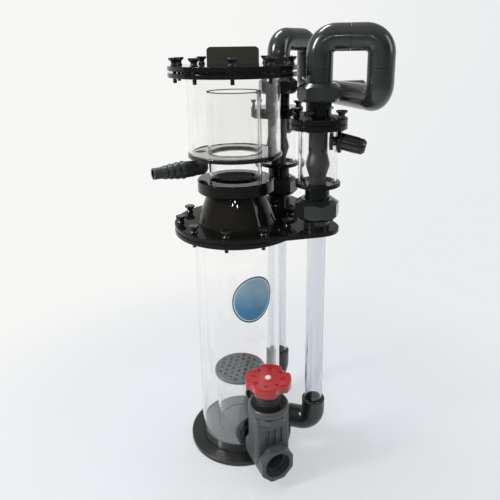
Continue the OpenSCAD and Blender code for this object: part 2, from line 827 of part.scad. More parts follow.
// Venturi nozzle: a straight neck with air holes, a belly of two cones and a plain outlet end.
module nozzle(side) {
    length = nozzle_top - tube_seat;
    end_bore_r = nozzle_end_d / 2 - nozzle_wall;
    color([0.2, 0.18, 0.16]) at_column(side) translate([0, 0, tube_seat]) difference() {
        rotate_extrude()
            polygon([[end_bore_r, 0], [nozzle_end_d / 2, 0], [nozzle_end_d / 2, nozzle_end_h],
                [nozzle_belly_d / 2, belly_low], [nozzle_belly_d / 2, belly_high], [nozzle_d / 2, belly_top],
                [nozzle_d / 2, length], [nozzle_d / 2 - 2 * nozzle_wall, length],
                [nozzle_throat_r, belly_top + 4], [nozzle_throat_r, belly_top - 6],
                [end_bore_r, nozzle_end_h]]);
        for (i = [0 : 3])
            rotate([0, 0, 45 + i * 90]) translate([0, 0, belly_top + 8]) rotate([0, 90, 0])
                cylinder(d = 9, h = nozzle_d, $fn = 32);
    }
}

module tube_flange(side) {
    color([0.05, 0.05, 0.06]) at_column(side) translate([0, 0, tube_flange_z]) difference() {
        bevelled_disc(pair_d, pair_t, 1.5);
        translate([0, 0, -1]) cylinder(d = injector_d + 2 * glue, h = pair_t + 2);
        screw_holes(pair_screw_count, pair_screw_circle, side * pair_screw_turn, -1, pair_t + 1);
    }
}

// Bolted cap of the injector housing with the lower half of the upper union on its neck.
module cap_flange(side) {
    color([0.05, 0.05, 0.06]) at_column(side) difference() {
        union() {
            translate([0, 0, cap_z]) bevelled_disc(pair_d, pair_t, 1.5);
            translate([0, 0, cap_top - 1]) cylinder(d = fitting_d - 2, h = upper_face - cap_top + 1);
            translate([0, 0, upper_nut_z + face_gap])
                cylinder(d = union_d, h = upper_face - upper_nut_z - face_gap);
        }
        translate([0, 0, cap_z - 1]) cylinder(d = nozzle_d - 8, h = upper_face - cap_z + 2);
        translate([0, 0, cap_z - 1]) cylinder(d = nozzle_d + 2 * glue, h = nozzle_top - cap_z + 1 + glue);
        screw_holes(pair_screw_count, pair_screw_circle, side * pair_screw_turn, cap_z - 1, cap_top + 1);
    }
}

module upper_nut(side) {
    color([0.17, 0.19, 0.19]) at_column(side) translate([0, 0, upper_nut_z])
        union_nut(upper_nut_w, upper_nut_h);
}

// Places a child at the root of an air valve's barrel, with local +Z along the barrel.
module at_air(side) {
    at_column(side) translate([air_root + lock_nut_t + 1, 0, air_z]) rotate([0, 90 + air_tilt, 0]) children();
}

// Air valve: a pipe through the injector tube's wall, a lock nut on each side and a barrel tilted down.
module air_valve(side) {
    pipe_start = inner_nut_r - lock_nut_t;
    pipe_end = air_root + lock_nut_t + barrel_inset;
    color([0.06, 0.07, 0.06]) difference() {
        union() {
            at_column(side) translate([pipe_start, 0, air_z]) rotate([0, 90, 0])
                cylinder(d = air_pipe_d, h = pipe_end - pipe_start);
            at_column(side) translate([air_root + 1, 0, air_z]) rotate([0, 90, 0])
                rotate([0, 0, 180 / octagon])
                cylinder(d = lock_nut_d, h = lock_nut_t, $fn = octagon);
            at_column(side) translate([pipe_start, 0, air_z]) rotate([0, 90, 0]) rotate([0, 0, 180 / octagon])
                cylinder(d = inner_nut_d, h = lock_nut_t, $fn = octagon);
            at_air(side) translate([0, 0, -barrel_inset])
                cylinder(d = air_barrel_d, h = air_barrel_len + barrel_inset);
        }
        at_column(side) translate([pipe_start - 1, 0, air_z]) rotate([0, 90, 0])
            cylinder(d = air_pipe_bore, h = pipe_end - pipe_start + 2);
        at_air(side) translate([0, 0, 1]) cylinder(d = air_bore, h = air_barrel_len);
    }
}

// Knob of the air valve: a fluted cap with a slot across its end and a plug that enters the barrel.
module air_knob(side) {
    knob_d = air_barrel_d - 2;
    flutes = 10;
    color([0.09, 0.1, 0.1]) at_air(side) translate([0, 0, air_barrel_len]) difference() {
        union() {
            rotate_extrude()
                polygon([[0, 0], [knob_d / 2, 0], [knob_d / 2, air_knob_len - 6],
                    [knob_d / 2 - 5, air_knob_len], [0, air_knob_len]]);
            translate([0, 0, -air_bore]) cylinder(d = air_bore - 2 * loose, h = air_bore + 1);
        }
        for (i = [0 : flutes - 1])
            rotate([0, 0, i * 360 / flutes]) translate([knob_d / 2 + 1, 0, 2])
                cylinder(d = 4, h = air_knob_len, $fn = 24);
        translate([-knob_d / 2, -1.5, air_knob_len - 3]) cube([knob_d, 3, 4]);
    }
}

module loop_adapters() {
    color([0.19, 0.21, 0.21])
        for (side = [-1, 1])
            at_column(side) difference() {
                union() {
                    translate([0, 0, upper_face]) cylinder(d = union_d - 2, h = face_t);
                    translate([0, 0, upper_face]) cylinder(d = fitting_d, h = adapter_top - upper_face);
                    translate([0, 0, adapter_top - 1]) cylinder(r = spigot_r, h = spigot_len + 1);
                }
                translate([0, 0, upper_face - 1])
                    cylinder(d = fitting_bore, h = adapter_top + spigot_len - upper_face + 2);
            }
}

// Three street elbows to a loop: up and out, out and down, then round to the feed tee.
module loop(side) {
    color([0.19, 0.21, 0.21]) {
        at_loop(side) translate([0, 0, loop_z]) elbow(spigot_len);
        at_loop(side) translate([loop_step, 0, loop_z]) rotate([0, 90, 0]) elbow(spigot_len);
        translate([feed_x, side * feed_y, feed_z]) rotate([0, 0, -side * 90]) rotate([180, 0, 0])
            elbow(spigot_len);
    }
}

// Feed tee between the two loops, with its branch facing away from the body.
module feed_tee() {
    color([0.19, 0.21, 0.21]) translate([feed_x, 0, feed_z]) difference() {
        union() {
            rotate([90, 0, 0]) cylinder(d = fitting_d, h = 2 * feed_run, center = true);
            rotate([0, 90, 0]) cylinder(d = fitting_d, h = elbow_reach);
        }
        rotate([90, 0, 0]) cylinder(d = fitting_bore, h = 2 * feed_run + 2, center = true);
        rotate([0, 90, 0]) cylinder(d = fitting_bore, h = elbow_reach + 1);
        translate([elbow_reach - socket_depth, 0, 0]) rotate([0, 90, 0])
            cylinder(r = hole_r, h = socket_depth + 1);
        for (end = [-1, 1])
            translate([0, end * (feed_run - socket_depth / 2 + 0.5), 0]) rotate([90, 0, 0])
                cylinder(r = hole_r, h = socket_depth + 1, center = true);
    }
}

module cup_riser() {
    color([0.92, 0.92, 0.9, 0.35]) translate([0, 0, riser_seat])
        ring(riser_d, riser_bore, riser_top - riser_seat);
}

module cup_floor() {
    color([0.07, 0.07, 0.08]) translate([0, 0, cup_floor_z]) difference() {
        bevelled_disc(cup_floor_d, cup_floor_t, 1);
        translate([0, 0, -1]) cylinder(d = riser_d + 2 * glue, h = cup_floor_t + 2);
        rotate([0, 0, drain_angle]) translate([drain_r, 0, -1])
            cylinder(d = drain_d + 2 * glue, h = cup_floor_t + 2);
    }
}

module cup_tube() {
    color([0.92, 0.92, 0.9, 0.35]) translate([0, 0, cup_floor_top])
        ring(cup_d, cup_bore, cup_rim - cup_floor_top);
}

module cup_flange() {
    color([0.05, 0.05, 0.06]) translate([0, 0, cup_flange_z]) difference() {
        bevelled_disc(lid_d, cup_flange_t, 1);
        translate([0, 0, -1]) cylinder(d = cup_d + 2 * glue, h = cup_flange_t + 2);
        screw_holes(lid_screw_count, lid_screw_circle, 0, -1, cup_flange_t + 1);
    }
}

// Drain: a pipe down from the cup floor, a round corner and a stepped hose barb.
module drain_barb() {
    tip_r = barb_tip_d / 2;
    hub_r = tip_r + barb_wall;
    wall_r = tip_r - barb_wall;
    bead_end = bead_at + bead_w;
    color([0.2, 0.22, 0.21]) rotate([0, 0, drain_angle]) translate([drain_r, 0, cup_floor_z - barb_drop])
        rotate([0, 0, barb_angle - drain_angle]) difference() {
            union() {
                cylinder(d = drain_d, h = barb_drop + cup_floor_t);
                sphere(r = hub_r);
                cylinder(r = hub_r, h = barb_drop - hub_gap);
                rotate([0, 90, 0])
                    rotate_extrude()
                        polygon([[0, 0], [hub_r, 0], [hub_r, bead_at], [hub_r + 1.5, bead_at + 1],
                            [hub_r + 1.5, bead_end - 1], [hub_r - 1, bead_end], [hub_r - 1, ridge_at],
                            [tip_r + 2.5, ridge_at + 1], [tip_r + 3.5, ridge_at + 4],
                            [tip_r + 1, ridge_at + ridge_w], [tip_r + 1, tip_at - ridge_w + 2],
                            [tip_r + 3, tip_at - ridge_w + 4], [tip_r, tip_at],
                            [tip_r, barb_len], [0, barb_len]]);
            }
            rotate([0, 90, 0]) cylinder(r = wall_r, h = barb_len + 1);
            sphere(r = wall_r);
            cylinder(r = wall_r, h = barb_drop + cup_floor_t + 1);
        }
}

module lid_gasket() {
    color([0.85, 0.85, 0.83]) translate([0, 0, cup_rim])
        ring(cup_bore + 2 * lid_gasket_w, cup_bore, lid_gasket_t);
}

module lid() {
    color([0.05, 0.05, 0.06]) translate([0, 0, lid_z]) difference() {
        bevelled_disc(lid_d, lid_t, 1);
        screw_holes(lid_screw_count, lid_screw_circle, 0, -1, lid_t + 1);
    }
}

module lid_handle() {
    half = handle_w / 2;
    color([0.07, 0.07, 0.06]) rotate([0, 0, handle_turn]) translate([0, handle_t / 2, lid_top])
        rotate([90, 0, 0]) {
            translate([-half, 0, 0]) cube([handle_w, handle_h - handle_corner, handle_t]);
            translate([-half + handle_corner, 0, 0]) cube([handle_w - 2 * handle_corner, handle_h, handle_t]);
            for (end = [-1, 1])
                translate([end * (half - handle_corner), handle_h - handle_corner, 0])
                    cylinder(r = handle_corner, h = handle_t);
        }
}

module lid_screws() {
    color([0.06, 0.06, 0.06])
        for (i = [0 : lid_screw_count - 1])
            rotate([0, 0, i * 360 / lid_screw_count]) translate([lid_screw_circle / 2, 0, lid_top])
                thumb_screw(lid_screw_len);
}

base_plate();
floor_plug();
body_tube();
diffuser_tube();
bubble_plate();
body_flange();
flange_gasket();
top_plate();
thumb_screws();
cone();
neck_collar();
collar_oring();
wall_saddles();
outlet_pipe();
valve_body();
bonnet_ring();
valve_bonnet();
packing_nut();
valve_gate();
valve_stem();
handwheel();
handwheel_screw();
inlet_elbow(-1);  // front_inlet_elbow
inlet_elbow(1);  // rear_inlet_elbow
downpipe(-1);  // front_downpipe
downpipe(1);  // rear_downpipe
plate_socket(-1);  // front_plate_socket
plate_socket(1);  // rear_plate_socket
lower_nut(-1);  // front_lower_nut
lower_nut(1);  // rear_lower_nut
housing_foot(-1);  // front_housing_foot
housing_foot(1);  // rear_housing_foot
injector_tube(-1);  // front_injector_tube
injector_tube(1);  // rear_injector_tube
nozzle(-1);  // front_nozzle
nozzle(1);  // rear_nozzle
tube_flange(-1);  // front_tube_flange
tube_flange(1);  // rear_tube_flange
cap_flange(-1);  // front_cap_flange
cap_flange(1);  // rear_cap_flange
upper_nut(-1);  // front_upper_nut
upper_nut(1);  // rear_upper_nut
air_valve(-1);  // front_air_valve
air_valve(1);  // rear_air_valve
air_knob(-1);  // front_air_knob
air_knob(1);  // rear_air_knob
loop_adapters();
loop(-1);  // front_loop
loop(1);  // rear_loop
feed_tee();
cup_riser();
cup_floor();
cup_tube();
cup_flange();
drain_barb();
lid_gasket();
lid();
lid_handle();
lid_screws();
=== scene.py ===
import math

import bpy
import numpy as np
from mathutils import Matrix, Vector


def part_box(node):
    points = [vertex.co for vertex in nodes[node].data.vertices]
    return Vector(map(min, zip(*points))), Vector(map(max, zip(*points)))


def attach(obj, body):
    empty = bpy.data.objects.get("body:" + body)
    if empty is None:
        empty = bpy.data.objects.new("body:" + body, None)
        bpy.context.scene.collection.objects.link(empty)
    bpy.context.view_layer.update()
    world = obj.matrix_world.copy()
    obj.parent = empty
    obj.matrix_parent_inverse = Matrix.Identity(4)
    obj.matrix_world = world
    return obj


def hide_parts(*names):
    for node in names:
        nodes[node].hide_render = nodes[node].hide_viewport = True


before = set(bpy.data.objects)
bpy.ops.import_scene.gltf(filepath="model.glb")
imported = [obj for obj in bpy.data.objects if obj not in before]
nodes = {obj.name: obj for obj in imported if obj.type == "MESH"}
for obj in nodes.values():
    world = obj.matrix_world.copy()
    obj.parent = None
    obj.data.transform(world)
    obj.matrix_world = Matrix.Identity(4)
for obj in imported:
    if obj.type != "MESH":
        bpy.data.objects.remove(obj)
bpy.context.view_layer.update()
scene = bpy.context.scene
print("frame:", len(nodes), "nodes loaded")


class Wire:  # a shader socket that can stand in a sum
    def __init__(self, paint, socket):
        self.paint, self.socket = paint, socket

    def calc(self, operation, first, second):
        return self.paint.node("ShaderNodeMath", {"operation": operation}, {0: first, 1: second})

    def __add__(self, other):
        return self.calc("ADD", self, other)

    def __radd__(self, other):
        return self.calc("ADD", other, self)

    def __sub__(self, other):
        return self.calc("SUBTRACT", self, other)

    def __rsub__(self, other):
        return self.calc("SUBTRACT", other, self)

    def __mul__(self, other):
        return self.calc("MULTIPLY", self, other)

    def __rmul__(self, other):
        return self.calc("MULTIPLY", other, self)

    def __lt__(self, other):
        return self.calc("LESS_THAN", self, other)

    def __abs__(self):
        return self.calc("ABSOLUTE", self, 0.0)


class Paint:  # one node tree and the finishes mixed in it
    def __init__(self, name=None, world=None):
        self.owner = world or bpy.data.materials.new(name)
        self.owner.use_nodes = True
        self.tree = self.owner.node_tree
        self.tree.nodes.clear()

    def node(self, kind, settings=None, sockets=None, out=0):  # the one way in which nodes are made
        made = self.tree.nodes.new(kind)
        for key, value in (settings or {}).items():
            setattr(made, key, value)
        for key, value in (sockets or {}).items():
            if isinstance(value, Wire):
                self.tree.links.new(value.socket, made.inputs[key])
            else:
                made.inputs[key].default_value = value
        return Wire(self, made.outputs[out]) if made.outputs else None

    def place(self, stretch=(1, 1, 1), turn=(0, 0, 0)):  # object coordinates, in metres
        spot = self.node("ShaderNodeTexCoord", out="Object")
        return self.node("ShaderNodeMapping", None, {"Vector": spot, "Scale": stretch, "Rotation": turn})

    def noise(self, scale, detail=3.0, rough=0.5, at=None):
        sockets = {"Vector": at or self.place(), "Scale": scale, "Detail": detail, "Roughness": rough}
        return self.node("ShaderNodeTexNoise", None, sockets)

    def specks(self, scale, size, soft=0.6, chosen=(0.72, 0.78)):  # small round spots in some of the cells
        sockets = {"Vector": self.place(), "Scale": scale}
        near = self.node("ShaderNodeTexVoronoi", None, sockets, "Distance")
        cell = self.node("ShaderNodeTexVoronoi", None, sockets, "Color")
        pick = self.node("ShaderNodeSeparateColor", None, {"Color": cell})
        return self.step(near, size, size * soft) * self.step(pick, *chosen)

    def step(self, value, low, high):  # smooth step from 0 at low to 1 at high
        sockets = {"Value": value, "From Min": low, "From Max": high}
        return self.node("ShaderNodeMapRange", {"interpolation_type": "SMOOTHSTEP"}, sockets)

    def mix(self, factor, first, second):  # colours
        sockets = {0: factor, 6: first, 7: second}
        return self.node("ShaderNodeMix", {"data_type": "RGBA"}, sockets, 2)

    def upward(self, low=0.6, high=0.9):  # 1 on faces that look up
        normal = self.node("ShaderNodeNewGeometry", None, None, "Normal")
        return self.step(self.node("ShaderNodeSeparateXYZ", None, {"Vector": normal}, "Z"), low, high)

    def bump(self, height, strength, depth, edge=0.0, samples=4):  # depth in metres; edge softens the corners
        sockets = {"Height": height, "Strength": strength, "Distance": depth}
        if edge:
            sockets["Normal"] = self.node("ShaderNodeBevel", {"samples": samples}, {"Radius": edge})
        return self.node("ShaderNodeBump", None, sockets)

    def body(self, **sockets):  # the surface itself, with camelCase names for Principled's sockets
        names = {"color": "Base Color", "rough": "Roughness", "metal": "Metallic", "index": "IOR",
                 "normal": "Normal", "clear": "Transmission Weight", "coat": "Coat Weight",
                 "coatRough": "Coat Roughness", "shine": "Specular IOR Level"}
        named = {names[key]: value for key, value in sockets.items()}
        return self.node("ShaderNodeBsdfPrincipled", None, named)

    def done(self, shader):
        self.node("ShaderNodeOutputMaterial", None, {"Surface": shader})
        return self.owner


# camera: the photograph's own view, level turned about Z, tilted down, rolled a little
camera = {"place": (-0.3422, -1.1105, 0.9789), "turn": 19.5, "pitch": 15.638, "roll": -0.734,
          "lens": 37.324, "shiftX": -0.01366, "shiftY": -0.11532}


def axes(turn):  # directions to the right of the view and away from it, on the floor
    angle = math.radians(turn)
    across, ahead = math.cos(angle), math.sin(angle)
    return np.array([across, -ahead, 0]), np.array([ahead, across, 0])


rightWay, awayWay = axes(camera["turn"])


def setCamera(settings):
    tilt, roll = math.radians(settings["pitch"]), math.radians(settings["roll"])
    forward = awayWay * math.cos(tilt) - np.array([0, 0, math.sin(tilt)])
    down = -awayWay * math.sin(tilt) - np.array([0, 0, math.cos(tilt)])
    right = math.cos(roll) * rightWay - math.sin(roll) * down
    down = math.sin(roll) * rightWay + math.cos(roll) * down
    made = bpy.data.objects.new("viewCamera", bpy.data.cameras.new("viewCamera"))
    columns = np.stack([right, -down, -forward, np.array(settings["place"])], axis=1)
    made.matrix_world = Matrix([*columns.tolist(), [0, 0, 0, 1]])
    made.data.lens = settings["lens"]
    made.data.shift_x, made.data.shift_y = settings["shiftX"], settings["shiftY"]
    scene.collection.objects.link(made)
    scene.camera = made


setCamera(camera)
print("camera set")


def quadGrid(points, closeU=False, closeV=False):  # rows (u) by columns (v); the normal is u x v
    rows, cols = points.shape[:2]
    rowSteps, colSteps = np.arange(rows if closeU else rows - 1), np.arange(cols if closeV else cols - 1)
    a, b = np.meshgrid(rowSteps, colSteps, indexing="ij")
    a2, b2 = (a + 1) % rows, (b + 1) % cols
    quads = np.stack([a * cols + b, a2 * cols + b, a2 * cols + b2, a * cols + b2], axis=-1).reshape(-1, 4)
    return points.reshape(-1, 3), quads


def pieceObject(name, grids, material, sharp=None, digits=6):
    # grids laid side by side in one mesh; points that meet become one, and a quad that loses a corner a triangle
    starts = np.cumsum([0] + [len(points) for points, quads in grids[:-1]])
    points = np.concatenate([points for points, quads in grids])
    quads = np.concatenate([quads + start for (points, quads), start in zip(grids, starts)])
    first, inverse = np.unique(np.round(points, digits), axis=0, return_index=True, return_inverse=True)[1:]
    points, quads = points[first], inverse.reshape(-1)[quads]
    whole = np.all(quads != np.roll(quads, 1, axis=1), axis=1)
    halves = np.concatenate([quads[~whole][:, [0, 1, 2]], quads[~whole][:, [0, 2, 3]]])
    halves = halves[np.all(halves != np.roll(halves, 1, axis=1), axis=1)]
    mesh = bpy.data.meshes.new(name)
    mesh.from_pydata(points.tolist(), [], quads[whole].tolist() + halves.tolist())
    mesh.polygons.foreach_set("use_smooth", np.full(len(mesh.polygons), True))
    if sharp:  # corners over this many degrees stay crisp
        mesh.set_sharp_from_angle(angle=math.radians(sharp))
    mesh.update()
    mesh.materials.append(material)
    made = bpy.data.objects.new(name, mesh)
    scene.collection.objects.link(made)
    return made


def around(count, start=0.0):  # angles once round
    return start + np.arange(count) * 2 * math.pi / count


def turned(profile, centre, axis=(0.0, 0.0, 1.0), count=128):
    # a closed profile of (radius, way along the axis), its outside going forward, carried round the axis
    turn = around(count)[:, None, None]
    r, along = np.array(profile).T[:, None, :, None]
    axis = np.array(axis)
    side = np.cross([0, 1, 0], axis)
    side = side / np.linalg.norm(side)
    spoke = np.cos(turn) * side + np.sin(turn) * np.cross(axis, side)
    return quadGrid(np.array(centre) + r * spoke + along * axis, True, True)


# studio: a pale floor that fades, away from the skimmer, into a pale room
studio = {
    "floor": (0.62, 0.638, 0.662, 1), "mottle": (0.60, 0.605, 0.61, 1), "mottleScale": 1.3,
    "mottleFrom": (0.3, 0.7), "mottleShare": 0.4, "rough": 0.9, "shine": 0.1,
    "spokes": 96, "rings": 24, "inner": 0.05, "wide": 40.0,
    # far: the room's tone on the right, greyed as painted shade
    "low": (0.83, 0.855, 0.89, 1), "near": (0.93, 0.93, 0.915, 1), "far": (0.82, 0.84, 0.85, 1),
    "sides": (-0.14, 0.55), "lift": 0.58, "fade": (0.30, 1.10), "front": (-0.8, 0.4),
    "sky": (0.98, 0.99, 1.0, 1), "backFrom": (-0.2, 0.75), "riseFrom": (0.1, 0.9), "behind": 0.52,
    "before": 0.12, "above": 0.40, "mirror": 1.0, "beyond": 0.42, "sheetTop": (0.22, 0.34), "dim": 0.07,
    "through": 0.66, "clear": 1.07}


def wayAlong(paint, spot, way):  # how far a vector goes along a fixed direction
    return paint.node("ShaderNodeVectorMath", {"operation": "DOT_PRODUCT"}, {0: spot, 1: tuple(way)}, "Value")


def roomToneShadedRight(paint, way, settings):  # the room's colour in a level direction, greyer on the right as painted shade
    side = paint.step(wayAlong(paint, way, rightWay), *settings["sides"])
    return paint.mix(side, settings["near"], settings["far"])


def rayKinds(paint, none=0.5):  # seen, mirrored and seen-through rays; the last only with no surface between
    seen, glossy, through, matt, shiny = (paint.node("ShaderNodeLightPath", None, None, name) for name in (
        "Is Camera Ray", "Is Glossy Ray", "Is Transmission Ray", "Diffuse Depth", "Glossy Depth"))
    clear = through * (matt + shiny < none)
    return seen, glossy * (1 - clear), clear


def floorPaint(settings):
    paint = Paint("paleFloor")
    spot = paint.place()
    away = paint.node("ShaderNodeVectorMath", {"operation": "LENGTH"}, {0: spot}, "Value")
    way = paint.node("ShaderNodeVectorMath", {"operation": "NORMALIZE"}, {0: spot})
    mottle = paint.step(paint.noise(settings["mottleScale"], detail=2), *settings["mottleFrom"])
    tone = paint.mix(mottle * settings["mottleShare"], settings["floor"], settings["mottle"])
    matt = paint.body(color=tone, rough=settings["rough"], shine=settings["shine"])
    climb = paint.step(away, *settings["fade"])
    glowTone = paint.mix(climb, settings["low"], roomToneShadedRight(paint, way, settings))
    glow = paint.node("ShaderNodeEmission", None, {"Color": glowTone})
    seen, glossy, through = rayKinds(paint)
    dim = paint.step(wayAlong(paint, spot, awayWay), *settings["front"])  # the front is not mirrored as bright
    lift = (settings["lift"] + climb * (1 - settings["lift"])) * (seen + glossy * dim + through)
    return paint.done(paint.node("ShaderNodeMixShader", None, {0: lift, 1: matt, 2: glow}))


def makeFloor(settings):
    # rings that widen evenly in proportion, from the middle to far away
    turn = around(settings["spokes"])
    r = np.concatenate([[0.0], np.geomspace(settings["inner"], settings["wide"], settings["rings"])])
    x, y = r[:, None] * np.cos(turn), r[:, None] * np.sin(turn)
    grid = quadGrid(np.stack([x, y, 0 * x], axis=-1), False, True)
    floor = pieceObject("paleFloor", [grid], floorPaint(settings))


def setWorld(settings):
    world = bpy.data.worlds.new("paleRoom")
    paint = Paint(world=world)
    way = paint.node("ShaderNodeTexCoord", out="Generated")
    rise = paint.node("ShaderNodeSeparateXYZ", None, {"Vector": way}, "Z")
    back = paint.step(wayAlong(paint, way, awayWay), *settings["backFrom"])
    over = paint.step(rise, *settings["riseFrom"])
    light = settings["before"] + back * (settings["behind"] - settings["before"])
    light = light + over * (settings["above"] - settings["before"])
    seen, glossy, through = rayKinds(paint)
    sheet = paint.step(rise, *settings["sheetTop"])  # the bright backdrop ends at a low height
    glare = settings["mirror"] + sheet * (settings["beyond"] - settings["mirror"])
    mirror = settings["dim"] + back * (glare - settings["dim"])
    mirror = mirror + over * (settings["above"] - settings["dim"]) * (1 - back)
    clear = settings["through"] + back * (settings["clear"] - settings["through"])
    level = seen + through * clear + glossy * mirror
    sky = paint.node("ShaderNodeBackground", None, {"Color": settings["sky"], "Strength": light})
    room = paint.node("ShaderNodeBackground", None, {"Color": roomToneShadedRight(paint, way, settings), "Strength": level})
    both = paint.node("ShaderNodeMixShader", None, {0: seen + glossy + through, 1: sky, 2: room})
    paint.node("ShaderNodeOutputWorld", None, {"Surface": both})
    scene.world = world


bulb = {"aim": (0.0, 0.0, 0.64), "size": (0.05, 0.012), "power": 0.35}  # small, mirrored as a point in the cone
lamps = {  # right, away, up in metres; size across and along; watts
    "keyStrip": {"at": (-1.55, -0.70, 1.75), "aim": (0.05, 0.0, 0.60), "size": (0.22, 0.80), "power": 32},
    "topStrip": {"at": (-0.40, 0.62, 2.30), "aim": (0.0, 0.0, 0.70), "size": (0.85, 0.20), "power": 14,
                 "gloss": True},
    "overhead": {"at": (-0.10, 0.10, 2.40), "aim": (0.0, 0.0, 0.0), "size": (0.55, 0.55), "power": 21,
                 "matt": True},
    "sideFill": {"at": (1.7, -0.5, 1.5), "aim": (0.0, 0.0, 0.55), "size": (0.45, 1.1), "power": 6},
    "spotOuter": {"at": (-0.52, -1.36, 1.248), **bulb},
    "spotLeft": {"at": (-0.30, -1.42, 1.232), **bulb},
    "spotMid": {"at": (-0.08, -1.45, 1.256), **bulb},
    "spotRight": {"at": (0.14, -1.45, 1.236), **bulb}}


def roomPoint(spot):
    return spot[0] * rightWay + spot[1] * awayWay + np.array([0, 0, spot[2]])


def setLamp(name, settings):
    light = bpy.data.lights.new(name, "AREA")
    light.shape = "RECTANGLE"
    light.size, light.size_y = settings["size"]
    light.energy = settings["power"]
    lamp = bpy.data.objects.new(name, light)
    lamp.visible_diffuse = not settings.get("gloss", False)  # a gloss lamp shows only in polished surfaces
    lamp.visible_glossy = not settings.get("matt", False)  # a matt lamp only lights and casts shadows
    place, aim = roomPoint(settings["at"]), roomPoint(settings["aim"])
    back = (place - aim) / np.linalg.norm(place - aim)
    across = np.cross([0, 0, 1], back)
    across /= np.linalg.norm(across)
    columns = np.stack([across, np.cross(back, across), back, place], axis=1)
    lamp.matrix_world = Matrix([*columns.tolist(), [0, 0, 0, 1]])
    scene.collection.objects.link(lamp)


scene.view_settings.view_transform = "Standard"
makeFloor(studio)
setWorld(studio)
for lampName, lampSettings in lamps.items():
    setLamp(lampName, lampSettings)
print("studio lit:", len(lamps), "lamps")


def shade(red, green, blue):  # a colour as a screen shows it, 0 to 255, made linear
    part = np.array([red, green, blue]) / 255
    linear = np.where(part <= 0.04045, part / 12.92, ((part + 0.055) / 1.055) ** 2.4)
    return (*linear.tolist(), 1.0)


# polished sheet acrylic: nearly black, a film of handling marks, hairlines and a little dust on top
sheetLook = {
    "ink": shade(17, 17, 17), "film": shade(25, 25, 24), "smear": 11, "smearFrom": (0.35, 0.75),
    "hair": 2.2, "hairStretch": (30, 420, 30), "hairTurn": (0.3, 0.2, 0.7), "hairFrom": (0.69, 0.74),
    "hairDull": 0.10, "dust": 0.22, "dustScale": 430, "dustSize": 0.15, "dustTone": (0.42, 0.40, 0.37, 1),
    "dustDull": 0.3, "gloss": 0.006, "haze": 0.03, "hazeFrom": (0.4, 0.8), "wave": 0.03, "waveScale": 7,
    "waveDepth": 0.004, "edge": 0.0009, "index": 1.49, "shine": 0.22, "coat": 0.0}
sheets = {
    "blackAcrylic": {},
    # tabPaintedReflection: the black acrylic's ink and film lightened and warmed as a painted reflection of the
    # room
    "tabPaintedReflection": {"ink": shade(64, 63, 55), "film": shade(70, 69, 60), "haze": 0.08},
    # conePaintedReflection: the black acrylic's ink and film warmed as a painted reflection of the room
    "conePaintedReflection": {"ink": shade(31, 30, 26), "film": shade(38, 36, 31)},
    "cupFloor": {"shine": 0.4, "coat": 0.9}}


def polishedSheet(name, look):
    paint = Paint(name)
    smear = paint.noise(look["smear"], detail=4)
    hairAt = paint.place(look["hairStretch"], look["hairTurn"])
    hair = paint.step(paint.noise(look["hair"], detail=2, at=hairAt), *look["hairFrom"])
    dust = paint.specks(look["dustScale"], look["dustSize"]) * paint.upward()
    tone = paint.mix(paint.step(smear, *look["smearFrom"]), look["ink"], look["film"])
    tone = paint.mix(dust * look["dust"], tone, look["dustTone"])
    rough = look["gloss"] + paint.step(smear, *look["hazeFrom"]) * look["haze"]
    rough = rough + hair * look["hairDull"] + dust * look["dustDull"]
    wave = paint.bump(paint.noise(look["waveScale"], detail=2), look["wave"], look["waveDepth"], look["edge"])
    coat = paint.upward() * look["coat"]  # a wet film where water stands
    surface = paint.body(color=tone, rough=rough, normal=wave, index=look["index"], shine=look["shine"], coat=coat)
    return paint.done(surface)


# joints of a loop: its column on the floor, how far it splays, where its elbows meet
loopJoints = {"column": (0.15273, 0.11302), "splay": 30, "middle": 0.06225, "foot": 0.93475, "width": 0.0011,
              "soft": 0.35, "dull": 0.3, "ink": shade(9, 10, 10)}


def nearPlane(paint, value, at, look):  # 1 on a thin line where a value passes a level
    return paint.step(abs(value - at), look["width"], look["width"] * look["soft"])


def jointLines(paint, look):  # the dark lines where one elbow of a loop ends and the next begins
    spot = paint.node("ShaderNodeTexCoord", out="Object")
    x, y, z = (paint.node("ShaderNodeSeparateXYZ", None, {"Vector": spot}, axis) for axis in "XYZ")
    splay = math.radians(look["splay"])
    columnX, columnY = look["column"]
    out = (x - columnX) * math.cos(splay) + (abs(y) - columnY) * math.sin(splay)
    return nearPlane(paint, out, look["middle"], look) + nearPlane(paint, z, look["foot"], look)


def tones(dark, light, fleck, worn, **other):  # the four tones of a moulded skin, and what else differs
    return {"dark": shade(*dark), "light": shade(*light), "fleck": shade(*fleck), "worn": shade(*worn), **other}


